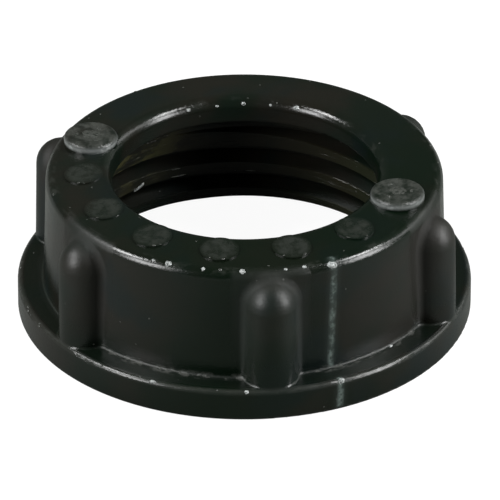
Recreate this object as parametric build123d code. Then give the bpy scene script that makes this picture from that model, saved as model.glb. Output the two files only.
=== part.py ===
from build123d import *
import os
from math import atan2, cos, degrees, radians, tan

# Insulating conduit bushing for 1/2 inch trade-size conduit, moulded in one piece.
# It stands on its open rim at z = 0 with its axis on Z, and one grip rib faces -Y.
# All lengths are in millimetres and all angles in degrees.

# Female pipe thread, 1/2-14, right-hand, that the other radii follow
THREADS_PER_INCH = 14
THREAD_MINOR_RADIUS = 9.8
THREAD_DEPTH = 0.87
THREAD_FLANK_ANGLE = 30.0
THREAD_ROOT_FLAT = 0.16
THREAD_CLEARANCE = 0.29
THREAD_LAND = 0.7
THREAD_FADE_ANGLE = 70.0
THREAD_FADE_DEPTH = 0.957
THREAD_START_ANGLE = 77.8

# Height, drafted wall and crowned top
HEIGHT = 9.45
WALL_THICKNESS = 1.28
WALL_DRAFT = 0.2
SHOULDER_ROUND = 0.6
CROWN_FALL = 0.25

# Flange around the foot of the wall
FLANGE_OVERHANG = 1.55
FLANGE_THICKNESS = 2.05
FLANGE_EDGE_ROUND = 0.32
RIM_EDGE_ROUND = 0.25
FOOT_BLEND = 0.15

# Throat that the wires pass through
THROAT_STEP = 1.8
THROAT_LIP_ROUND = 0.7
THROAT_LOWER_ROUND = 0.25
WEB_THICKNESS = 1.65

# Dished underside around the mouth
RIM_WIDTH = 1.15
DISH_ANGLE = 30.0

# Grip ribs around the wall
RIB_COUNT = 6
RIB_FIRST_ANGLE = -90.0
RIB_INSET = 0.15
RIB_RADIUS = 1.52
RIB_DRAFT = 1.0
RIB_TOP_GAP = 0.04
RIB_BLEND = 0.5

# Two raised gate pads on the top face
PAD_ANGLES = (153.6, -28.6)
PAD_INSET = 2.16
PAD_RADIUS = 1.62
PAD_HEIGHT = 0.4
PAD_EDGE_ROUND = 0.26

# Low round ejector marks, evenly spaced between the pads along the front of the top face
MARK_COUNT = 6
MARK_FIRST_ANGLE = 176.9
MARK_SPACING = 25.6
MARK_INSET = 2.28
MARK_RADIUS = 1.18
MARK_HEIGHT = 0.05

# Sizes worked out from the ones above
INCH = 25.4
THREAD_PITCH = INCH / THREADS_PER_INCH
THREAD_MAJOR_RADIUS = THREAD_MINOR_RADIUS + THREAD_DEPTH
WALL_TOP_RADIUS = THREAD_MAJOR_RADIUS + WALL_THICKNESS
WALL_FOOT_RADIUS = WALL_TOP_RADIUS + WALL_DRAFT
FLANGE_RADIUS = WALL_FOOT_RADIUS + FLANGE_OVERHANG
DISH_RADIUS = FLANGE_RADIUS - RIM_WIDTH
THROAT_RADIUS = THREAD_MINOR_RADIUS - THROAT_STEP
WEB_UNDERSIDE = HEIGHT - WEB_THICKNESS
MOUTH_HEIGHT = (DISH_RADIUS - THREAD_MINOR_RADIUS) * tan(radians(DISH_ANGLE))
CROWN_INNER_RADIUS = THROAT_RADIUS + THROAT_LIP_ROUND
CROWN_OUTER_RADIUS = WALL_TOP_RADIUS - SHOULDER_ROUND
CROWN_OUTER_HEIGHT = HEIGHT - CROWN_FALL
SHOULDER_HEIGHT = CROWN_OUTER_HEIGHT - SHOULDER_ROUND
RIB_CENTRE_RADIUS = WALL_FOOT_RADIUS - RIB_INSET
RIB_DOME_HEIGHT = SHOULDER_HEIGHT - RIB_TOP_GAP - RIB_RADIUS
PAD_CENTRE_RADIUS = WALL_TOP_RADIUS - PAD_INSET
MARK_CENTRE_RADIUS = WALL_TOP_RADIUS - MARK_INSET

# Slack for picking edges by their place
EDGE_TOLERANCE = 0.01


def turned(points_and_arcs):
    """Turn a closed half section, drawn on the XZ plane by a function, about Z."""
    with BuildPart() as solid:
        with BuildSketch(Plane.XZ):
            with BuildLine():
                points_and_arcs()
            make_face()
        revolve(axis=Axis.Z)
    return solid.part


def corner(radius, height, size, start):
    """A quarter round of the half section about its centre, counterclockwise from start."""
    CenterArc((radius, height), size, start, 90)


def flange_section():
    """Flat rim, outer edge and upper face of the flange, up to the foot of the wall."""
    rim = FLANGE_RADIUS - RIM_EDGE_ROUND
    edge = FLANGE_RADIUS - FLANGE_EDGE_ROUND
    edge_height = FLANGE_THICKNESS - FLANGE_EDGE_ROUND
    Line((DISH_RADIUS, 0), (rim, 0))
    corner(rim, RIM_EDGE_ROUND, RIM_EDGE_ROUND, -90)
    Line((FLANGE_RADIUS, RIM_EDGE_ROUND), (FLANGE_RADIUS, edge_height))
    corner(edge, edge_height, FLANGE_EDGE_ROUND, 0)
    Line((edge, FLANGE_THICKNESS), (WALL_FOOT_RADIUS, FLANGE_THICKNESS))


def wall_section():
    """Drafted wall, rounded shoulder and crowned top face, in to the throat's lip."""
    Line((WALL_FOOT_RADIUS, FLANGE_THICKNESS), (WALL_TOP_RADIUS, SHOULDER_HEIGHT))
    corner(CROWN_OUTER_RADIUS, SHOULDER_HEIGHT, SHOULDER_ROUND, 0)
    Line((CROWN_OUTER_RADIUS, CROWN_OUTER_HEIGHT), (CROWN_INNER_RADIUS, HEIGHT))


def bore_section():
    """Rounded throat, underside of the web, plain bore and dished mouth."""
    lip_height = HEIGHT - THROAT_LIP_ROUND
    lower_radius = THROAT_RADIUS + THROAT_LOWER_ROUND
    lower_height = WEB_UNDERSIDE + THROAT_LOWER_ROUND
    corner(CROWN_INNER_RADIUS, lip_height, THROAT_LIP_ROUND, 90)
    Line((THROAT_RADIUS, lip_height), (THROAT_RADIUS, lower_height))
    corner(lower_radius, lower_height, THROAT_LOWER_ROUND, 180)
    Line((lower_radius, WEB_UNDERSIDE), (THREAD_MINOR_RADIUS, WEB_UNDERSIDE))
    Line((THREAD_MINOR_RADIUS, WEB_UNDERSIDE), (THREAD_MINOR_RADIUS, MOUTH_HEIGHT))
    Line((THREAD_MINOR_RADIUS, MOUTH_HEIGHT), (DISH_RADIUS, 0))


def turned_body():
    """The flange, wall, top and bore as one body of revolution."""

    def section():
        flange_section()
        wall_section()
        bore_section()

    return turned(section)


def groove_section(height):
    """Section of the thread's groove, reaching clear of the bore's surface."""
    half_root = THREAD_ROOT_FLAT / 2
    half_mouth = half_root + (THREAD_DEPTH + THREAD_CLEARANCE) * tan(radians(THREAD_FLANK_ANGLE))
    with BuildSketch(Plane.XZ) as section:
        with Locations((THREAD_MINOR_RADIUS, height)):
            Polygon(
                (-THREAD_CLEARANCE, -half_mouth),
                (THREAD_DEPTH, -half_root),
                (THREAD_DEPTH, half_root),
                (-THREAD_CLEARANCE, half_mouth),
                align=None,
            )
    return section.sketch


def thread_groove():
    """A V groove with a flat root, wound up from the mouth, that fades out below the plain land."""
    start = -THREAD_PITCH / 2
    end = WEB_UNDERSIDE - THREAD_LAND - THREAD_PITCH / 2
    end_angle = 360 * (end - start) / THREAD_PITCH
    path = Helix(THREAD_PITCH, end - start, THREAD_MINOR_RADIUS, center=(0, 0, start))
    groove = sweep(groove_section(start), path=path, is_frenet=True)

    fade_rise = THREAD_PITCH * THREAD_FADE_ANGLE / 360
    slope = atan2(THREAD_FADE_DEPTH, fade_rise)
    fade_pitch = THREAD_PITCH / cos(slope)
    fade_path = Helix(fade_pitch, fade_rise, THREAD_MINOR_RADIUS, cone_angle=-degrees(slope))
    fade = sweep(groove_section(0), path=fade_path, is_frenet=True)
    return Rot(0, 0, THREAD_START_ANGLE) * (groove + Pos(0, 0, end) * Rot(0, 0, end_angle) * fade)


def grip_rib():
    """A drafted half-round rib with a domed top, rooted in the flange and the wall."""
    root = FLANGE_THICKNESS - FLANGE_EDGE_ROUND
    length = RIB_DOME_HEIGHT - root
    root_radius = RIB_RADIUS + length * tan(radians(RIB_DRAFT))
    post = Pos(0, 0, root + length / 2) * Cone(root_radius, RIB_RADIUS, length)
    dome = Pos(0, 0, RIB_DOME_HEIGHT) * Sphere(RIB_RADIUS)
    return Pos(RIB_CENTRE_RADIUS, 0, 0) * (post + dome)


def around(shape, first, step, count):
    """Copies of a shape turned about Z."""
    return [Rot(0, 0, first + step * i) * shape for i in range(count)]


def crown_layer(thickness):
    """A ring as thick as given that lies on the crowned top face and reaches into the web."""

    def section():
        top = [
            (THROAT_RADIUS, HEIGHT + thickness),
            (CROWN_INNER_RADIUS, HEIGHT + thickness),
            (WALL_TOP_RADIUS, CROWN_OUTER_HEIGHT + thickness),
        ]
        foot = [(WALL_TOP_RADIUS, WEB_UNDERSIDE), (THROAT_RADIUS, WEB_UNDERSIDE)]
        Polyline(*top, *foot, close=True)

    return turned(section)


def gate_pad():
    """A raised round pad with a softened top edge."""
    height = PAD_HEIGHT + HEIGHT - SHOULDER_HEIGHT
    pad = Pos(0, 0, SHOULDER_HEIGHT + height / 2) * Cylinder(PAD_RADIUS, height)
    pad = fillet(pad.edges().group_by(Axis.Z)[-1], PAD_EDGE_ROUND)
    return Pos(PAD_CENTRE_RADIUS, 0, 0) * pad


def ejector_marks():
    """Low discs that follow the crown of the top face."""
    disc = Pos(MARK_CENTRE_RADIUS, 0, HEIGHT) * Cylinder(MARK_RADIUS, WEB_THICKNESS)
    discs = around(disc, MARK_FIRST_ANGLE, MARK_SPACING, MARK_COUNT)
    layer = crown_layer(MARK_HEIGHT)
    return [layer & disc for disc in discs]


def rib_corners(solid):
    """The edges where the sides and the domes of the ribs meet the wall."""
    corners = []
    for edge in solid.edges():
        above_flange = edge.bounding_box().min.Z > FLANGE_THICKNESS - EDGE_TOLERANCE
        if above_flange and edge.geom_type == GeomType.BSPLINE:
            corners.append(edge)
    return corners


def foot_corners(solid):
    """The edges where the wall and the ribs meet the flange's upper face."""
    flat_end = FLANGE_RADIUS - FLANGE_EDGE_ROUND
    corners = []
    for edge in solid.edges():
        box = edge.bounding_box()
        middle = edge @ 0.5
        reach = Vector(middle.X, middle.Y).length
        from_level = max(abs(box.min.Z - FLANGE_THICKNESS), abs(box.max.Z - FLANGE_THICKNESS))
        if from_level < EDGE_TOLERANCE and reach < flat_end - EDGE_TOLERANCE:
            corners.append(edge)
    return corners


def bushing():
    """The whole moulding."""
    solid = turned_body()
    for rib in around(grip_rib(), RIB_FIRST_ANGLE, 360 / RIB_COUNT, RIB_COUNT):
        solid += rib
    solid = solid.fillet(RIB_BLEND, rib_corners(solid))
    solid = solid.fillet(FOOT_BLEND, foot_corners(solid))
    solid -= thread_groove()
    for angle in PAD_ANGLES:
        solid += Rot(0, 0, angle) * gate_pad()
    for mark in ejector_marks():
        solid += mark
    return solid


os.makedirs("parts", exist_ok=True)
export_step(bushing(), "parts/bushing.step")
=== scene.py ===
import math
import random
from functools import cached_property

import bmesh
import bpy
from bpy.props import FloatProperty, FloatVectorProperty, IntProperty, PointerProperty
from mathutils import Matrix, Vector, noise


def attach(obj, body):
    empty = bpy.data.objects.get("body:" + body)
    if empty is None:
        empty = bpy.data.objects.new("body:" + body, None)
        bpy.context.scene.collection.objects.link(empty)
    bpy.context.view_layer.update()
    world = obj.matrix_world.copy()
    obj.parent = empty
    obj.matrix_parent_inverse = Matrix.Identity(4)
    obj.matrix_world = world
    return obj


bl_info = {
    "name": "Conduit Bushing",
    "version": (1, 0, 0),
    "blender": (4, 5, 0),
    "location": "View3D > Sidebar > Bushing",
    "description": "Finish, moulding marks and studio for a black plastic conduit bushing",
    "category": "Object",
}

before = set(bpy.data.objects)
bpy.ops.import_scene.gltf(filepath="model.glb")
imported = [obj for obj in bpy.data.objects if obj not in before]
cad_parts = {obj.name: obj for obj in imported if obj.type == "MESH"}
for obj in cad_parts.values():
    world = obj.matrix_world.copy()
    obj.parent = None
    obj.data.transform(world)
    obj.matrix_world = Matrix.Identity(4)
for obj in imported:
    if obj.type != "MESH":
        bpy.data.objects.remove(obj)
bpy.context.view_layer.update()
BODY = "root"
NODE = "bushing"
MM = 0.001
SEED = 14

# The moulding's own sizes, in millimetres and degrees, as the solid has them
HEIGHT = 9.45
CROWN_FALL = 0.25
THROAT_RADIUS = 8.0
LIP_ROUND = 0.7
WALL_TOP_RADIUS = 11.95
WALL_FOOT_RADIUS = 12.15
SHOULDER_ROUND = 0.6
FLANGE_RADIUS = 13.7
FLANGE_THICKNESS = 2.05
FLANGE_EDGE_ROUND = 0.32
CREST_RADIUS = 9.8
CREST_HALF_WIDTH = 0.26
THREAD_PITCH = 25.4 / 14
THREAD_START_ANGLE = 77.8
THREAD_TOP = 7.1
PAD_HEIGHT = 0.4
PAD_RADIUS = 1.62
PAD_CENTRE_RADIUS = 9.79
PAD_ANGLES = (153.6, -28.6)
MARK_HEIGHT = 0.05
MARK_RADIUS = 1.18
MARK_CENTRE_RADIUS = 9.67
MARK_FIRST_ANGLE = 176.9
MARK_STEP = 25.6
MARK_COUNT = 6
RIB_RADIUS = 1.52
RIB_CENTRE_RADIUS = 12.0
RIB_TOP_GAP = 0.04
FRONT_ANGLE = 270.0

CROWN_INNER_RADIUS = THROAT_RADIUS + LIP_ROUND
CROWN_OUTER_RADIUS = WALL_TOP_RADIUS - SHOULDER_ROUND
CROWN_EDGE_HEIGHT = HEIGHT - CROWN_FALL
SHOULDER_HEIGHT = CROWN_EDGE_HEIGHT - SHOULDER_ROUND
RIB_DOME_HEIGHT = SHOULDER_HEIGHT - RIB_TOP_GAP - RIB_RADIUS

# What is evenly spaced: first turn from the front and step, in degrees, and how many
MARK_PLACES = (MARK_FIRST_ANGLE - FRONT_ANGLE, MARK_STEP, MARK_COUNT)
PAD_PLACES = (PAD_ANGLES[0] - FRONT_ANGLE, PAD_ANGLES[1] - PAD_ANGLES[0] + 360.0, 2)
# The seventh place is the first rib's again, so that the one at the back has both its halves
RIB_PLACES = (-180.0, 60.0, 7)

# Places of marks, painted light and painted shade not in the solid, in millimetres and degrees
CREST_NICK_HEIGHT = 3.62
FOOT_NICK_GAP = 0.08
STREAK_ANGLE = -73.2
STREAK_LEAN = 0.24
OLIVE_TURN = 125.0
SHADE_TURN = -15.0

# Shape of the small mounds: fullness, depth of the sunk rim, waves and swell of the outline
LUMP_FULLNESS = 1.3
LUMP_SINK = 0.6
LUMP_WAVES = 2.1
LUMP_SWELL = 0.35

PLASTIC_IOR = 1.5
WHITE = (1.0, 1.0, 1.0)


class BushingPlastic(bpy.types.PropertyGroup):
    """Colour and surface of the moulded plastic"""

    colour: FloatVectorProperty(
        name="Plastic",
        description="Main colour of the moulded plastic",
        subtype="COLOR",
        size=3,
        min=0.0,
        max=1.0,
        default=(0.0036, 0.0066, 0.0043),
    )
    warm_colour: FloatVectorProperty(
        name="Warm cloud",
        description="Colour of the faint brownish clouds where the plastic flowed",
        subtype="COLOR",
        size=3,
        min=0.0,
        max=1.0,
        default=(0.0082, 0.0076, 0.0056),
    )
    cool_colour: FloatVectorProperty(
        name="Cool cloud",
        description="Colour of the faint bluish clouds between them",
        subtype="COLOR",
        size=3,
        min=0.0,
        max=1.0,
        default=(0.0040, 0.0070, 0.0066),
    )
    # Painted shade: darker colour laid on the wall towards the front, on the top face towards its
    # right and on the flange's flat top
    painted_shade_colour: FloatVectorProperty(
        name="Dense plastic",
        description="Colour of the darker plastic towards the front",
        subtype="COLOR",
        size=3,
        min=0.0,
        max=1.0,
        default=(0.0008, 0.0046, 0.0015),
    )
    # Painted highlight: the weld line's streak and its glow are light painted into the colour
    streak_highlight_colour: FloatVectorProperty(
        name="Weld streak",
        description="Colour of the broken streak where the flows met",
        subtype="COLOR",
        size=3,
        min=0.0,
        max=1.0,
        default=(0.110, 0.138, 0.128),
    )
    # Partly painted light: the olive patches stand in for the lit thread flanks on the left and
    # brighten the right
    olive_and_light_colour: FloatVectorProperty(
        name="Bore stain",
        description="Colour of the olive patches on the thread",
        subtype="COLOR",
        size=3,
        min=0.0,
        max=1.0,
        default=(0.048, 0.046, 0.018),
    )
    # Partly painted light: besides wear and dust, this colour paints reflections on the lip and
    # flange's edge and glints at the foot
    wear_and_sheen_colour: FloatVectorProperty(
        name="Rubbed edge",
        description="Colour of rubbed edges, scuffs and dust",
        subtype="COLOR",
        size=3,
        min=0.0,
        max=1.0,
        default=(0.060, 0.063, 0.057),
    )
    # Partly painted light: the nicks' whitening also stands in for their glints, and this colour
    # paints the highlight round the pads' sides
    nick_and_glint_colour: FloatVectorProperty(
        name="Nick",
        description="Colour of the stress-whitened nicks",
        subtype="COLOR",
        size=3,
        min=0.0,
        max=1.0,
        default=(0.38, 0.40, 0.395),
    )
    disc_colour: FloatVectorProperty(
        name="Ejector disc",
        description="Colour of the duller ejector discs on the top face",
        subtype="COLOR",
        size=3,
        min=0.0,
        max=1.0,
        default=(0.0170, 0.0200, 0.0165),
    )
    roughness: FloatProperty(
        name="Roughness",
        description="Mean roughness of the satin surface",
        subtype="FACTOR",
        min=0.0,
        max=1.0,
        default=0.22,
    )
    gloss: FloatProperty(
        name="Gloss level",
        description="Strength of the plastic's clear reflection",
        subtype="FACTOR",
        min=0.0,
        max=1.0,
        default=0.42,
    )
    grain_depth: FloatProperty(
        name="Grain depth",
        description="Height of the moulded grain",
        subtype="DISTANCE",
        unit="LENGTH",
        min=0.0,
        max=0.001,
        default=0.00002,
    )


class BushingMarks(bpy.types.PropertyGroup):
    """Sizes and numbers of the small marks that moulding and handling left"""

    nick_size: FloatProperty(
        name="Nick size",
        description="Length of the largest nick on an edge",
        subtype="DISTANCE",
        unit="LENGTH",
        min=0.00005,
        max=0.001,
        default=0.0005,
    )
    nick_count: IntProperty(
        name="Scuffs",
        description="Number of small scuffs scattered along the edges",
        min=0,
        max=400,
        default=40,
    )
    burr_count: IntProperty(
        name="Crest burrs",
        description="Number of rubbed burrs along the thread's crest",
        min=0,
        max=200,
        default=22,
    )
    scar_radius: FloatProperty(
        name="Gate scar radius",
        description="Radius of the broken gate left on each pad",
        subtype="DISTANCE",
        unit="LENGTH",
        min=0.0001,
        max=0.002,
        default=0.00062,
    )


class BushingStudio(bpy.types.PropertyGroup):
    """Camera, lamps and floor"""

    azimuth: FloatProperty(
        name="Camera azimuth",
        description="Turn of the camera about the bushing's axis, from the front",
        subtype="ANGLE",
        unit="ROTATION",
        default=math.radians(-7.6),
    )
    elevation: FloatProperty(
        name="Camera elevation",
        description="Angle of the camera above the floor",
        subtype="ANGLE",
        unit="ROTATION",
        default=math.radians(31.02),
    )
    distance: FloatProperty(
        name="Camera distance",
        description="Distance from the camera to the point that it looks at",
        subtype="DISTANCE",
        unit="LENGTH",
        default=0.548,
    )
    lamp_power: FloatProperty(
        name="Lamp power",
        description="Power that the softboxes take their shares of",
        subtype="POWER",
        unit="POWER",
        default=1.45,
    )
    floor_colour: FloatVectorProperty(
        name="Floor",
        description="Colour of the plain floor",
        subtype="COLOR",
        size=3,
        min=0.0,
        max=1.0,
        default=(0.10, 0.115, 0.096),
    )
    world_level: FloatProperty(
        name="Room level",
        description="Brightness of the room around the softboxes",
        subtype="FACTOR",
        min=0.0,
        max=1.0,
        default=0.039,
    )


class Shade:
    """An output socket of a node tree, with the arithmetic that the finishes are written in."""

    def __init__(self, tree, socket=None):
        self.tree = tree
        self.socket = socket

    def node(self, kind, settings=None, inputs=None, output=0):
        """Add any node: its settings first, then the values or links of its sockets."""
        made = self.tree.nodes.new(kind)
        for name, value in (settings or {}).items():
            setattr(made, name, value)
        for name, value in (inputs or {}).items():
            if isinstance(value, Shade):
                self.tree.links.new(value.socket, made.inputs[name])
            else:
                made.inputs[name].default_value = value
        return Shade(self.tree, made.outputs[output] if made.outputs else None)

    def other(self, name):
        """Another output of the same node."""
        return Shade(self.tree, self.socket.node.outputs[name])

    def math(self, operation, *values):
        return self.node("ShaderNodeMath", {"operation": operation}, dict(enumerate(values)))

    def __add__(self, other):
        return self.math("ADD", self, other)

    def __radd__(self, other):
        return self.math("ADD", other, self)

    def __sub__(self, other):
        return self.math("SUBTRACT", self, other)

    def __rsub__(self, other):
        return self.math("SUBTRACT", other, self)

    def __mul__(self, other):
        return self.math("MULTIPLY", self, other)

    def __rmul__(self, other):
        return self.math("MULTIPLY", other, self)

    def __truediv__(self, other):
        return self.math("DIVIDE", self, other)

    def __rtruediv__(self, other):
        return self.math("DIVIDE", other, self)

    def __abs__(self):
        return self.math("ABSOLUTE", self)

    def root(self):
        return self.math("SQRT", self)

    def rounded(self):
        return self.math("ROUND", self)

    def at_least(self, limit):
        return self.math("MAXIMUM", self, limit)

    def at_most(self, limit):
        return self.math("MINIMUM", self, limit)

    def above(self, low, high):
        """0 below low and 1 above high, with a smooth step between them."""
        return self.node(
            "ShaderNodeMapRange",
            {"interpolation_type": "SMOOTHSTEP"},
            {"Value": self, "From Min": low, "From Max": high},
        )

    def below(self, low, high):
        """1 below low and 0 above high, with a smooth step between them."""
        return 1.0 - self.above(low, high)

    def near(self, centre, width):
        """1 at centre, falling smoothly to 0 at that width from it."""
        return abs(self - centre).below(0.0, width)

    def towards(self, direction):
        """How far this direction points the given way, 1 if just that way."""
        inputs = {0: self, 1: direction}
        settings = {"operation": "DOT_PRODUCT"}
        return self.node("ShaderNodeVectorMath", settings, inputs, output="Value")

    def mixed_value(self, first, second):
        """The first value where this is 0 and the second where it is 1."""
        return first + (second - first) * self

    def mixed(self, first, second):
        """The first colour where this is 0 and the second where it is 1."""
        inputs = {"Factor": self, "A": first, "B": second}
        return self.node("ShaderNodeMix", {"data_type": "RGBA"}, inputs, output=2)


def colour(rgb):
    """A colour with its alpha, as a node's socket takes it."""
    return (*rgb, 1.0)


class Surface:
    """Places on the moulding, in millimetres, for its finish."""

    def __init__(self, tree):
        metres = Shade(tree).node("ShaderNodeTexCoord", output="Object")
        scaled = {0: metres, "Scale": 1 / MM}
        self.point = metres.node("ShaderNodeVectorMath", {"operation": "SCALE"}, scaled)
        split = self.point.node("ShaderNodeSeparateXYZ", None, {0: self.point})
        self.across, self.along, self.height = (split.other(axis) for axis in "XYZ")
        self.radius = (self.across * self.across + self.along * self.along).root()
        self.angle = split.math("ARCTAN2", self.along, self.across)
        self.front_angle = split.math("ARCTAN2", self.across, 0.0 - self.along)
        unrolled = {"X": self.angle * CREST_RADIUS, "Y": self.radius, "Z": self.height}
        self.wound = split.node("ShaderNodeCombineXYZ", None, unrolled)

    def noise(self, waves, detail=2.0, roughness=0.5, stretch=(1.0, 1.0, 1.0), wound=False):
        """Noise with that many waves to the millimetre, laid along the way round if wound."""
        base = self.wound if wound else self.point
        placed = base.node("ShaderNodeVectorMath", {"operation": "MULTIPLY"}, {0: base, 1: stretch})
        inputs = {"Vector": placed, "Scale": waves, "Detail": detail, "Roughness": roughness}
        return base.node("ShaderNodeTexNoise", None, inputs)

    def specks(self, cells, size):
        """Small round specks, one in each cell of about that many to the millimetre."""
        inputs = {"Vector": self.point, "Scale": cells, "Randomness": 1.0}
        distance = self.point.node("ShaderNodeTexVoronoi", {"feature": "F1"}, inputs)
        chosen = distance.node("ShaderNodeSeparateColor", None, {0: distance.other("Color")})
        return distance.below(size * 0.5, size) * chosen

    def turn_from_nearest(self, first, step, count):
        """Turn from the nearest of the evenly spaced places round the axis."""
        turn = self.front_angle - math.radians(first)
        index = (turn / math.radians(step)).rounded().at_least(0.0).at_most(count - 1.0)
        return turn - index * math.radians(step)

    def discs(self, places, radius, size, soft):
        """1 on round spots at the places, on a circle of that radius, 0 around them."""
        turn = self.turn_from_nearest(*places)
        across = self.radius * turn.math("SINE", turn)
        along = self.radius * turn.math("COSINE", turn) - radius
        return (across * across + along * along).root().below(size - soft, size)

    def arches(self, places, height, size, width):
        """1 along upright arches at the places on the wall, falling to 0 at that width."""
        turn = self.turn_from_nearest(*places)
        across = self.radius * turn.math("SINE", turn)
        rise = (self.height - height).at_least(0.0)
        return (across * across + rise * rise).root().near(size, width)

    def ring(self, radius, height, width):
        """1 on a circle about the axis, falling to 0 at that distance from it."""
        across = self.radius - radius
        along = self.height - height
        return (across * across + along * along).root().below(0.0, width)


class Moulding(Surface):
    """The bushing's features, marks and painted light and shade, each 1 where it is and 0 elsewhere,
    and its noises.
    """

    # Bands along the edges: radius, height and reach, in millimetres
    SHOULDER_BAND = (
        CROWN_OUTER_RADIUS + 0.45 * SHOULDER_ROUND,
        SHOULDER_HEIGHT + 0.85 * SHOULDER_ROUND,
        0.42,
    )
    LIP_BAND = (CROWN_INNER_RADIUS - 0.7 * LIP_ROUND, HEIGHT - 0.3 * LIP_ROUND, 0.38)
    FLANGE_BAND = (FLANGE_RADIUS - 0.1, FLANGE_THICKNESS - 0.1, 0.3)
    FOOT_BAND = (WALL_FOOT_RADIUS + 0.15, FLANGE_THICKNESS + 0.05, 0.35)
    # Radii between which a feature fades in or out, in millimetres
    OUTSIDE_RADII = (11.2, 11.6)
    FLAT_RADII = (13.2, 13.45)
    BORE_RADII = (CREST_RADIUS + 0.02, CREST_RADIUS + 0.14)
    # Heights between which a feature fades in or out, in millimetres
    THREAD_HEIGHTS = (THREAD_TOP + 0.5, THREAD_TOP + 0.9)
    OLIVE_HEIGHTS = (3.0, 5.0)
    BLEND_HEIGHTS = (2.2, 3.0)
    DOME_HEIGHTS = (2.5, 6.0)
    SHADE_HEIGHTS = (HEIGHT - 1.0, HEIGHT - 0.6)
    DISC_HEIGHTS = (CROWN_EDGE_HEIGHT - 0.2, CROWN_EDGE_HEIGHT - 0.1)
    PAD_HEIGHTS = (HEIGHT + 0.2, HEIGHT + 0.35)
    # Turns over which a feature fades out, in radians
    SHADE_REACH = 0.7
    OLIVE_REACH = 0.9
    DASHES_REACH = (0.9, 1.3)

    @cached_property
    def grain(self):
        """Moulded grain."""
        return self.noise(waves=5.0, detail=4.0, roughness=0.62)

    @cached_property
    def fine(self):
        """The finest grain."""
        return self.noise(waves=16.0)

    @cached_property
    def drift(self):
        """Slow waves along the way round."""
        stretch = (0.35, 1.0, 0.8)
        return self.noise(waves=0.9, detail=4.0, roughness=0.6, stretch=stretch, wound=True)

    @cached_property
    def patchy(self):
        """Patches that break up the rubbed and painted-light edges."""
        stretch = (0.6, 1.0, 1.0)
        noise = self.noise(waves=1.3, detail=3.0, roughness=0.7, stretch=stretch, wound=True)
        return noise.above(0.5, 0.66)

    @cached_property
    def painted_shade(self):
        """Painted shade: a darker colour on the wall near the front and on the top face towards its
        right.
        """
        wall = self.front_angle.near(math.radians(SHADE_TURN), self.SHADE_REACH)
        top = (self.across * 0.5 - self.along * 0.85).above(-5.0, 9.0)
        return self.height.above(*self.SHADE_HEIGHTS).mixed_value(wall, top)

    @cached_property
    def outside(self):
        """All but the bore and the top face."""
        return self.radius.above(*self.OUTSIDE_RADII)

    @cached_property
    def flat(self):
        """The flange's flat top."""
        return self.height.near(FLANGE_THICKNESS, 0.2) * self.radius.below(*self.FLAT_RADII)

    @cached_property
    def shoulder(self):
        return self.ring(*self.SHOULDER_BAND)

    @cached_property
    def lip(self):
        return self.ring(*self.LIP_BAND)

    @cached_property
    def foot(self):
        """The corner between the wall and the flange."""
        return self.ring(*self.FOOT_BAND)

    @cached_property
    def rubbed(self):
        """Shoulder and lip patches, rubbed and partly a painted reflection, a painted reflection on
        the flange's edge and painted glints at the foot's front.
        """
        flange = self.ring(*self.FLANGE_BAND)
        edges = (self.shoulder * 0.4 + self.lip * 0.3) * self.patchy
        edges = edges + flange * (0.45 + 0.35 * self.patchy)
        stretch = (0.7, 1.0, 1.0)
        dashes = self.noise(waves=2.6, detail=3.0, roughness=0.7, stretch=stretch, wound=True)
        front = abs(self.front_angle).below(*self.DASHES_REACH)
        return edges + self.foot * dashes.above(0.5, 0.6) * front * 1.7

    @cached_property
    def crest(self):
        """The thread's crest."""
        return self.radius.below(*self.BORE_RADII) * self.height.below(*self.THREAD_HEIGHTS)

    @cached_property
    def scored(self):
        """Scores that the core left along the crest."""
        stretch = (0.12, 1.0, 2.4)
        noise = self.noise(waves=3.0, detail=3.0, roughness=0.65, stretch=stretch, wound=True)
        return self.crest * noise.above(0.52, 0.72)

    @cached_property
    def olive_and_painted_light(self):
        """Olive patches in the bore, partly painted light: strong on its left, faint on its right to
        brighten it.
        """
        stretch = (0.5, 1.0, 1.4)
        noise = self.noise(waves=0.8, detail=3.0, roughness=0.6, stretch=stretch, wound=True)
        left = self.front_angle.near(-math.radians(OLIVE_TURN), self.OLIVE_REACH)
        right = self.front_angle.near(math.radians(OLIVE_TURN), self.OLIVE_REACH)
        left = left * self.height.above(*self.OLIVE_HEIGHTS) * noise.above(0.40, 0.64)
        return self.crest * (left + right * 0.13)

    @cached_property
    def streak(self):
        """Weld streak painted as a broken, slightly leaning highlight with a painted glow, down the
        wall and the flange's edge.
        """
        turn = self.angle - math.radians(STREAK_ANGLE) - self.height * math.radians(STREAK_LEAN)
        across = abs(turn * self.radius)
        blotched = self.noise(waves=1.9, detail=3.0, roughness=0.7).above(0.40, 0.62)
        core = across.below(0.0, 0.30) * (0.15 + 0.85 * blotched)
        halo = across.below(0.1, 0.6) * 0.08
        return (core + halo) * self.outside * (1.0 - self.flat)

    @cached_property
    def dust(self):
        return self.specks(cells=1.3, size=0.13).above(0.76, 0.88)

    @cached_property
    def mottle(self):
        """Blotches on the ejector discs."""
        return self.noise(waves=1.5, detail=4.0, roughness=0.68).above(0.36, 0.62)

    @cached_property
    def disc(self):
        """The ejector discs, less where they aren't mottled."""
        top = self.height.above(*self.DISC_HEIGHTS)
        discs = self.discs(MARK_PLACES, MARK_CENTRE_RADIUS, MARK_RADIUS + 0.1, 0.5)
        return discs * top * (0.30 + 0.70 * self.mottle)

    @cached_property
    def torn(self):
        """Blotches on the pads, where the gates broke off."""
        return self.noise(waves=1.25, detail=4.0, roughness=0.7).above(0.33, 0.70)

    @cached_property
    def pad_top(self):
        return self.height.above(*self.PAD_HEIGHTS)

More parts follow.
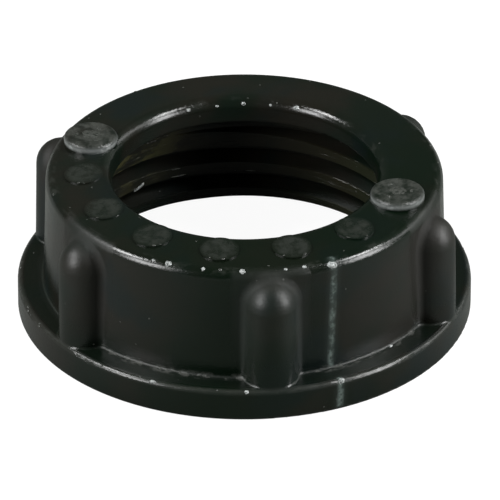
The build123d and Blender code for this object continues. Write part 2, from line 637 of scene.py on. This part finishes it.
    # Painted highlight: a patchy pale band round the pads' sides for the crescents that they reflect
    @cached_property
    def pad_side_highlight(self):
        pads = self.discs(PAD_PLACES, PAD_CENTRE_RADIUS, PAD_RADIUS + 0.15, 0.12)
        return pads * self.height.near(HEIGHT + 0.12, 0.24) * (0.5 + 0.5 * self.patchy)

    @cached_property
    def dome(self):
        """The ribs and the wall by them, more and more towards their domes."""
        ribs = self.discs(RIB_PLACES, RIB_CENTRE_RADIUS, RIB_RADIUS + 1.1, 0.5)
        return ribs * self.height.above(*self.DOME_HEIGHTS) * self.outside

    @cached_property
    def blend(self):
        """The blends up the ribs' sides and over their domes."""
        arches = self.arches(RIB_PLACES, RIB_DOME_HEIGHT, RIB_RADIUS + 0.15, 0.5)
        return arches * self.height.above(*self.BLEND_HEIGHTS) * self.outside

    def tint(self, plastic):
        """Flow clouds with the discs, pads, stains, streak and wear laid over them, among which are
        painted shade, highlights, reflections and glints.
        """
        warm = self.noise(waves=0.16, detail=3.0, roughness=0.55).above(0.40, 0.62)
        cool = self.noise(waves=0.24).above(0.5, 0.68)
        # Wear and dust, with painted reflections and glints on the edges
        worn_and_sheen = self.rubbed * 0.6 + self.scored * 0.12 + self.dust * 0.9
        layers = (
            (warm, plastic.warm_colour),
            (cool, plastic.cool_colour),
            # Painted shade towards the front and on the flange's flat top
            ((self.painted_shade + self.flat).at_most(1.0) * 0.65, plastic.painted_shade_colour),
            (self.disc, plastic.disc_colour),
            (self.pad_top * (0.06 + 0.70 * self.torn), plastic.wear_and_sheen_colour),
            # Olive patches, partly painted light
            ((self.olive_and_painted_light * 1.5).at_most(1.0), plastic.olive_and_light_colour),
            # Painted highlight of the weld streak
            (self.streak, plastic.streak_highlight_colour),
            (worn_and_sheen.at_most(1.0), plastic.wear_and_sheen_colour),
            # Painted highlight round the pads' sides
            (self.pad_side_highlight * 0.7, plastic.nick_and_glint_colour),
        )
        tint = colour(plastic.colour)
        for mask, paint in layers:
            tint = mask.mixed(tint, colour(paint))
        return tint

    def roughness(self, plastic):
        """Duller on the discs, pads, flat and foot and by the ribs, glossier on rubbed edges."""
        roughness = plastic.roughness + (self.drift - 0.5) * 0.16 + (self.fine - 0.5) * 0.10
        dull = self.disc + self.pad_top + self.flat + self.foot
        roughness = roughness + self.dome * 0.24 + dull * 0.16 + self.blend * 0.30
        return roughness - (self.shoulder + self.lip) * 0.08

    def relief(self):
        """Height of the grain and the marks, in shares of the grain's depth."""
        relief = self.grain * 0.55 + self.fine * 0.25 + self.drift * 0.6
        relief = relief + (self.rubbed + self.scored) * self.grain * 0.9 + self.dust * 0.6
        return relief + self.pad_top * self.torn * 1.6 + self.disc * self.mottle * 0.8


def new_material(name):
    material = bpy.data.materials.new(name)
    material.use_nodes = True
    material.node_tree.nodes.clear()
    return material


def finish(plastic, tint, roughness, relief):
    """Lay the colour, roughness and relief on the plastic's shader."""
    raised = {"Strength": 1.0, "Distance": plastic.grain_depth, "Height": relief}
    inputs = {
        "Base Color": tint,
        "Roughness": roughness,
        "IOR": PLASTIC_IOR,
        "Specular IOR Level": plastic.gloss,
        "Normal": relief.node("ShaderNodeBump", None, raised),
    }
    shader = relief.node("ShaderNodeBsdfPrincipled", None, inputs)
    relief.node("ShaderNodeOutputMaterial", None, {"Surface": shader})


def moulded_plastic():
    """Satin black moulding with its flow clouds, streak, discs, pads, rubbed edges and dust, and
    painted shade and highlights.
    """
    plastic = bpy.context.scene.bushing_plastic
    material = new_material("moulded_plastic")
    moulding = Moulding(material.node_tree)
    finish(plastic, moulding.tint(plastic), moulding.roughness(plastic), moulding.relief())
    return material


def torn_plastic(name, pale):
    """Torn, rubbed or whitened plastic, made once: patches of the pale colour on the plastic's own,
    which on the nicks is partly a painted glint.
    """
    if name in bpy.data.materials:
        return bpy.data.materials[name]
    plastic = bpy.context.scene.bushing_plastic
    material = new_material(name)
    surface = Surface(material.node_tree)
    torn = surface.noise(waves=7.0, detail=4.0, roughness=0.65)
    fine = surface.noise(waves=22.0)
    tint = torn.above(0.3, 0.6).mixed(colour(plastic.colour), colour(pale))
    finish(plastic, tint, 0.22 + torn * 0.14, torn + fine * 0.4)
    return material


def whitened():
    """The stress-whitened plastic of the nicks, light enough to be partly a painted glint."""
    return torn_plastic("whitened_glint_plastic", bpy.context.scene.bushing_plastic.nick_and_glint_colour)


def scuffed():
    """The dull plastic of scuffs, burrs and broken gates."""
    return torn_plastic("scuffed_plastic", bpy.context.scene.bushing_plastic.wear_and_sheen_colour)


def place(radius, angle, height):
    """A point in metres from a radius and height in millimetres and an angle in degrees."""
    turn = math.radians(angle)
    return Vector((radius * math.cos(turn), radius * math.sin(turn), height)) * MM


def outward(angle, tilt):
    """A direction that far round the axis, tilted up from level, both in degrees."""
    turn, rise = math.radians(angle), math.radians(tilt)
    level = math.cos(rise)
    return Vector((level * math.cos(turn), level * math.sin(turn), math.sin(rise)))


def crown_height(radius):
    """Height of the top face at a radius, in millimetres."""
    share = (radius - CROWN_INNER_RADIUS) / (CROWN_OUTER_RADIUS - CROWN_INNER_RADIUS)
    return HEIGHT - CROWN_FALL * share


def lump(mesh, centre, normal, along, size, draw, rings=5, around=16):
    """A low irregular mound on a surface, with its rim sunk under the skin.

    Its size is half its length, half its width and its rise.
    """
    length, width, height = size
    normal = normal.normalized()
    along = (along - normal * along.dot(normal)).normalized()
    side = normal.cross(along)
    phase = Vector((draw.uniform(0, 99), draw.uniform(0, 99), draw.uniform(0, 99)))
    top = mesh.verts.new(centre + normal * height)
    previous = None
    for ring in range(1, rings + 1):
        reach = ring / rings
        drop = math.cos(reach * math.pi / 2) ** LUMP_FULLNESS if ring < rings else -LUMP_SINK
        row = []
        for step in range(around):
            turn = 2 * math.pi * step / around
            u, v = math.cos(turn) * reach, math.sin(turn) * reach
            rough = noise.noise(phase + Vector((u * LUMP_WAVES, v * LUMP_WAVES, reach)))
            swell = 1 + LUMP_SWELL * rough
            point = centre + along * (u * length * swell) + side * (v * width * swell)
            lift = height * drop * (1 + 2 * LUMP_SWELL * rough)
            row.append(mesh.verts.new(point + normal * lift))
        for step in range(around):
            after = (step + 1) % around
            if previous is None:
                mesh.faces.new((top, row[step], row[after]))
            else:
                mesh.faces.new((previous[step], row[step], row[after], previous[after]))
        previous = row


def mesh_piece(name, mesh, material):
    """Make an object of the mesh that rides on the bushing and is shaded smooth."""
    bmesh.ops.recalc_face_normals(mesh, faces=mesh.faces)
    data = bpy.data.meshes.new(name)
    mesh.to_mesh(data)
    mesh.free()
    data.polygons.foreach_set("use_smooth", [True] * len(data.polygons))
    data.materials.append(material)
    piece = bpy.data.objects.new(name, data)
    bpy.context.scene.collection.objects.link(piece)
    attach(piece, BODY)


class BUSHING_OT_skin(bpy.types.Operator):
    """Finish the moulded bushing in satin black plastic"""

    bl_idname = "bushing.skin"
    bl_label = "Finish the Moulding"

    def execute(self, context):
        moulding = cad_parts.get(NODE)
        if moulding is None:
            raise RuntimeError("the packed model has no moulding to finish")
        material = moulded_plastic()
        for slot in moulding.material_slots:
            slot.material = material
        return {"FINISHED"}


class BUSHING_OT_nicks(bpy.types.Operator):
    """Add the nicks and scuffs along the shoulder, lip, flange, foot and crest"""

    bl_idname = "bushing.nicks"
    bl_label = "Add Edge Nicks"

    # Edges: radius and height of the rounding's centre and the rounding's radius, in millimetres
    EDGES = {
        "shoulder": (CROWN_OUTER_RADIUS, SHOULDER_HEIGHT, SHOULDER_ROUND),
        "lip": (CROWN_INNER_RADIUS, HEIGHT - LIP_ROUND, LIP_ROUND),
        "flange": (
            FLANGE_RADIUS - FLANGE_EDGE_ROUND,
            FLANGE_THICKNESS - FLANGE_EDGE_ROUND,
            FLANGE_EDGE_ROUND,
        ),
        "foot": (WALL_FOOT_RADIUS + FOOT_NICK_GAP, FLANGE_THICKNESS, 0.0),
        "crest": (CREST_RADIUS, CREST_NICK_HEIGHT, 0.0),
    }
    # Nicks that stand out, whitened light enough to be painted glints: edge, angle and tilt in
    # degrees, length as a share, width over length
    MAIN = (
        ("shoulder", -71.6, 36.0, 1.4, 0.62),
        ("shoulder", -79.8, 60.0, 0.6, 0.8),
        ("shoulder", -85.5, 60.0, 0.45, 0.8),
        ("shoulder", -98.1, 60.0, 0.85, 0.85),
        ("shoulder", -109.6, 62.0, 0.6, 1.0),
        ("shoulder", -120.2, 60.0, 1.0, 0.8),
        ("shoulder", -125.0, 60.0, 0.6, 0.6),
        ("flange", -72.5, 45.0, 0.9, 0.8),
        ("flange", -97.0, 45.0, 0.6, 0.8),
        ("flange", -121.2, 50.0, 0.8, 0.6),
        ("foot", -143.5, 65.0, 0.9, 0.8),
        ("foot", -52.1, 65.0, 0.8, 0.8),
        ("lip", 107.2, 150.0, 0.6, 0.9),
        ("lip", 94.3, 155.0, 0.5, 0.8),
        ("lip", 82.8, 150.0, 0.6, 0.9),
        ("lip", 71.0, 150.0, 0.45, 0.8),
        ("lip", 59.5, 145.0, 0.85, 0.8),
        ("crest", 123.0, 180.0, 1.8, 0.3),
    )
    # Scattered scuffs: edges to choose from, tilts in degrees, shares of length, widths over length
    SCUFFED_EDGES = ("shoulder", "lip", "flange", "flange", "foot")
    TILTS = {"shoulder": (40, 75), "lip": (120, 165), "flange": (20, 70), "foot": (50, 80)}
    SHARES = (0.2, 0.5)
    SLIMNESS = (0.5, 0.9)
    # Slope of a nick along its edge, in degrees, and its rise over its width
    SLOPE = (-25, 25)
    RISE = 0.22

    def execute(self, context):
        marks = context.scene.bushing_marks
        draw = random.Random(SEED)
        mesh = bmesh.new()
        for edge, angle, tilt, share, slim in self.MAIN:
            self.nick(mesh, edge, angle, tilt, marks.nick_size * share, slim, draw)
        mesh_piece("edge_nicks", mesh, whitened())
        mesh = bmesh.new()
        for _ in range(marks.nick_count):
            edge = draw.choice(self.SCUFFED_EDGES)
            angle, tilt = draw.uniform(-180, 180), draw.uniform(*self.TILTS[edge])
            size = marks.nick_size * draw.uniform(*self.SHARES)
            self.nick(mesh, edge, angle, tilt, size, draw.uniform(*self.SLIMNESS), draw)
        mesh_piece("edge_scuffs", mesh, scuffed())
        return {"FINISHED"}

    def nick(self, mesh, edge, angle, tilt, length, slim, draw):
        """A mound on the edge's rounding, at an angle round the axis and a tilt across the edge."""
        radius, height, reach = self.EDGES[edge]
        turn = math.radians(tilt)
        point = place(radius + reach * math.cos(turn), angle, height + reach * math.sin(turn))
        along = outward(angle + 90, draw.uniform(*self.SLOPE))
        width = length * slim
        size = (length / 2, width / 2, width * self.RISE)
        lump(mesh, point, outward(angle, tilt), along, size, draw)


class BUSHING_OT_burrs(bpy.types.Operator):
    """Add the burrs that unscrewing the core left along the thread's crest"""

    bl_idname = "bushing.burrs"
    bl_label = "Add Crest Burrs"

    FIRST_TURN = 1.35
    # Ranges of the burrs' lengths, half widths and rises, in millimetres
    LENGTHS = (0.4, 1.6)
    HALF_WIDTHS = (0.03, 0.06)
    RISES = (0.015, 0.03)

    def execute(self, context):
        marks = context.scene.bushing_marks
        draw = random.Random(SEED + 1)
        mesh = bmesh.new()
        slope = math.degrees(math.atan2(THREAD_PITCH, 2 * math.pi * CREST_RADIUS))
        turns = (THREAD_TOP - THREAD_PITCH) / THREAD_PITCH
        for _ in range(marks.burr_count):
            wound = draw.uniform(self.FIRST_TURN, turns)
            angle = THREAD_START_ANGLE + 360 * wound
            side = draw.choice((-CREST_HALF_WIDTH, CREST_HALF_WIDTH))
            point = place(CREST_RADIUS, angle, THREAD_PITCH * wound + side)
            length = draw.uniform(*self.LENGTHS) * MM
            size = (length / 2, draw.uniform(*self.HALF_WIDTHS) * MM, draw.uniform(*self.RISES) * MM)
            along = outward(angle + 90, slope)
            lump(mesh, point, -outward(angle, 0.0), along, size, draw, rings=4)
        mesh_piece("crest_burrs", mesh, scuffed())
        return {"FINISHED"}


class BUSHING_OT_scars(bpy.types.Operator):
    """Add the broken gates on the pads and the flecks at the ejector discs' front edges"""

    bl_idname = "bushing.scars"
    bl_label = "Add Moulding Scars"

    # Broken gate: its width over its length, its rise in millimetres, and the splinters round it
    GATE_SLIMNESS = 0.8
    GATE_RISE = 0.05
    SPLINTER_TURNS = (20, 140, 255)
    SPLINTER_REACH = 1.35
    SPLINTER_LEAN = 80
    SPLINTER_SIZE = (0.22 * MM, 0.1 * MM, 0.035 * MM)
    # Flecks on a disc: how many, how far from straight ahead in degrees, how far out, sizes, shape
    FLECK_COUNT = 2
    FLECK_TURN = 40
    FLECK_REACH = 0.95
    FLECK_SIZES = (0.06, 0.14)
    FLECK_SHAPE = (1.0, 0.6, 0.2)
    CROWN_TILT = 85

    def execute(self, context):
        draw = random.Random(SEED + 2)
        mesh = bmesh.new()
        for angle in PAD_ANGLES:
            self.gate(mesh, angle, context.scene.bushing_marks.scar_radius, draw)
        for index in range(MARK_COUNT):
            self.flecks(mesh, MARK_FIRST_ANGLE + MARK_STEP * index, draw)
        mesh_piece("moulding_scars", mesh, scuffed())
        return {"FINISHED"}

    def gate(self, mesh, angle, radius, draw):
        """The stump of a gate on top of a pad, with splinters round it."""
        centre = place(PAD_CENTRE_RADIUS, angle, HEIGHT + PAD_HEIGHT)
        up = Vector((0, 0, 1))
        size = (radius, radius * self.GATE_SLIMNESS, self.GATE_RISE * MM)
        lump(mesh, centre, up, outward(angle, 0), size, draw, rings=7, around=28)
        for turn in self.SPLINTER_TURNS:
            spot = centre + outward(angle + turn, 0) * radius * self.SPLINTER_REACH
            across = outward(angle + turn + self.SPLINTER_LEAN, 0)
            lump(mesh, spot, up, across, self.SPLINTER_SIZE, draw)

    def flecks(self, mesh, angle, draw):
        """Flecks along the front edge of an ejector disc."""
        top = crown_height(MARK_CENTRE_RADIUS) + MARK_HEIGHT
        centre = place(MARK_CENTRE_RADIUS, angle, top)
        for _ in range(self.FLECK_COUNT):
            turn = FRONT_ANGLE + draw.uniform(-self.FLECK_TURN, self.FLECK_TURN)
            spot = centre + outward(turn, 0) * MARK_RADIUS * self.FLECK_REACH * MM
            length = draw.uniform(*self.FLECK_SIZES) * MM
            size = tuple(length * share for share in self.FLECK_SHAPE)
            lump(mesh, spot, outward(angle, self.CROWN_TILT), outward(turn + 90, 0), size, draw)


class BUSHING_OT_stage(bpy.types.Operator):
    """Set up the floor, the softboxes and the camera"""

    bl_idname = "bushing.stage"
    bl_label = "Set Up the Studio"

    FLOOR_HALF = 3.0
    FLOOR_DROP = 0.00002
    # What the camera sees of the floor: glow of the white, and the share that takes the shadow
    FLOOR_GLOW = 0.95
    FLOOR_SHADE = 0.12
    # How white reflections see it: under the bushing, how much more at its sides, and from where
    FLOOR_MIRRORED = 0.03
    FLOOR_MIRRORED_RISE = 0.18
    FLOOR_MIRRORED_FROM = (0.003, 0.02)
    # Brighter sides of the room: azimuth and elevation in degrees, start and end of the fade, gain
    GLOWS = (
        (140.0, 40.0, 0.2, 1.0, 2.2),
        (16.0, 25.0, 0.66, 0.96, 6.0),
    )
    ROOM_COLOUR = (0.90, 1.0, 0.86)
    # Softboxes: name, azimuth and elevation in degrees, width and height in metres, share of power
    SOFTBOX_DISTANCE = 0.30
    SOFTBOXES = (
        ("softbox_left_high", 178.0, 46.0, 0.07, 0.085, 0.36),
        ("softbox_left_low", -155.0, 24.0, 0.10, 0.14, 0.50),
        ("softbox_right_high", -16.0, 45.0, 0.07, 0.085, 0.36),
        ("softbox_right_back", 14.0, 27.0, 0.22, 0.08, 0.10),
        ("softbox_right_low", -27.0, 18.0, 0.10, 0.14, 0.52),
    )
    CAMERA_SENSOR = 36.0
    CAMERA_LENS = 653.8
    CAMERA_CLIP = 0.01
    TARGET_RIGHT = 0.00034
    TARGET_HEIGHT = 0.00359

    def execute(self, context):
        self.floor(context)
        self.room(context)
        self.lamps(context)
        self.camera(context)
        context.scene.view_settings.view_transform = "Standard"
        return {"FINISHED"}

    def floor(self, context):
        half = self.FLOOR_HALF
        sides = ((-half, -half), (half, -half), (half, half), (-half, half))
        corners = [(across, along, -self.FLOOR_DROP) for across, along in sides]
        data = bpy.data.meshes.new("studio_floor")
        data.from_pydata(corners, [], [(0, 1, 2, 3)])
        data.materials.append(self.pale_floor(context.scene.bushing_studio))
        floor = bpy.data.objects.new("studio_floor", data)
        context.scene.collection.objects.link(floor)

    def pale_floor(self, studio):
        """White to the camera, dim in reflections and its own colour to the lamps' light."""
        material = new_material("pale_floor")
        path = Shade(material.node_tree).node("ShaderNodeLightPath", output="Is Camera Ray")
        metres = path.node("ShaderNodeTexCoord", output="Object")
        across = abs(path.node("ShaderNodeSeparateXYZ", None, {0: metres}))
        side = across.above(*self.FLOOR_MIRRORED_FROM)
        mirrored = self.FLOOR_MIRRORED + side * self.FLOOR_MIRRORED_RISE
        seen = path + (path.other("Is Glossy Ray") + path.other("Is Transmission Ray")) * mirrored

        shade = {"Color": colour([self.FLOOR_SHADE] * 3)}
        glow = {"Color": colour(WHITE), "Strength": self.FLOOR_GLOW}
        shadowed = path.node("ShaderNodeBsdfDiffuse", None, shade)
        glowing = path.node("ShaderNodeEmission", None, glow)
        white = path.node("ShaderNodeAddShader", None, {0: shadowed, 1: glowing})
        paper = path.node("ShaderNodeBsdfDiffuse", None, {"Color": colour(studio.floor_colour)})
        mixed = path.node("ShaderNodeMixShader", None, {0: seen.at_most(1.0), 1: paper, 2: white})
        path.node("ShaderNodeOutputMaterial", None, {"Surface": mixed})
        return material

    def room(self, context):
        world = bpy.data.worlds.new("studio_room")
        world.use_nodes = True
        world.node_tree.nodes.clear()
        camera = Shade(world.node_tree).node("ShaderNodeLightPath", output="Is Camera Ray")
        direction = camera.node("ShaderNodeTexCoord", output="Generated")
        level = 1.0
        for azimuth, elevation, start, end, gain in self.GLOWS:
            level = level + direction.towards(outward(azimuth, elevation)).above(start, end) * gain
        lit = context.scene.bushing_studio.world_level * level
        inputs = {
            "Color": camera.mixed(colour(self.ROOM_COLOUR), colour(WHITE)),
            "Strength": camera.mixed_value(lit, 1.0),
        }
        room = camera.node("ShaderNodeBackground", None, inputs)
        camera.node("ShaderNodeOutputWorld", None, {"Surface": room})
        context.scene.world = world

    def lamps(self, context):
        studio = context.scene.bushing_studio
        aim = Vector((0, 0, HEIGHT * MM / 2))
        for name, azimuth, elevation, width, height, share in self.SOFTBOXES:
            data = bpy.data.lights.new(name, "AREA")
            data.shape = "RECTANGLE"
            data.size = width
            data.size_y = height
            data.energy = studio.lamp_power * share
            lamp = bpy.data.objects.new(name, data)
            lamp.location = aim + outward(azimuth, elevation) * self.SOFTBOX_DISTANCE
            lamp.rotation_euler = (aim - lamp.location).to_track_quat("-Z", "Y").to_euler()
            context.scene.collection.objects.link(lamp)

    def camera(self, context):
        studio = context.scene.bushing_studio
        azimuth, elevation = studio.azimuth, studio.elevation
        level = math.cos(elevation)
        forward = Vector(
            (-math.sin(azimuth) * level, math.cos(azimuth) * level, -math.sin(elevation))
        )
        right = Vector((math.cos(azimuth), math.sin(azimuth), 0))
        target = right * self.TARGET_RIGHT + Vector((0, 0, self.TARGET_HEIGHT))
        data = bpy.data.cameras.new("photo_camera")
        data.sensor_width = self.CAMERA_SENSOR
        data.lens = self.CAMERA_LENS
        data.clip_start = self.CAMERA_CLIP
        camera = bpy.data.objects.new("photo_camera", data)
        camera.location = target - forward * studio.distance
        camera.rotation_euler = forward.to_track_quat("-Z", "Y").to_euler()
        context.scene.collection.objects.link(camera)
        context.scene.camera = camera


STEPS = (
    BUSHING_OT_skin,
    BUSHING_OT_nicks,
    BUSHING_OT_burrs,
    BUSHING_OT_scars,
    BUSHING_OT_stage,
)


class BUSHING_PT_panel(bpy.types.Panel):
    """The bushing's sizes, colours and steps"""

    bl_idname = "BUSHING_PT_panel"
    bl_label = "Conduit Bushing"
    bl_space_type = "VIEW_3D"
    bl_region_type = "UI"
    bl_category = "Bushing"

    def draw(self, context):
        scene = context.scene
        for group in (scene.bushing_plastic, scene.bushing_marks, scene.bushing_studio):
            box = self.layout.box()
            for name in group.__annotations__:
                box.prop(group, name)
        for step in STEPS:
            self.layout.operator(step.bl_idname)


GROUPS = {
    "bushing_plastic": BushingPlastic,
    "bushing_marks": BushingMarks,
    "bushing_studio": BushingStudio,
}


def register():
    for group in (*GROUPS.values(), *STEPS, BUSHING_PT_panel):
        bpy.utils.register_class(group)
    for name, group in GROUPS.items():
        setattr(bpy.types.Scene, name, PointerProperty(type=group))


def unregister():
    for name in GROUPS:
        delattr(bpy.types.Scene, name)
    for group in reversed((*GROUPS.values(), *STEPS, BUSHING_PT_panel)):
        bpy.utils.unregister_class(group)


def main():
    register()
    bpy.ops.bushing.skin()
    bpy.ops.bushing.nicks()
    bpy.ops.bushing.burrs()
    bpy.ops.bushing.scars()
    bpy.ops.bushing.stage()


if __name__ == "__main__":
    main()
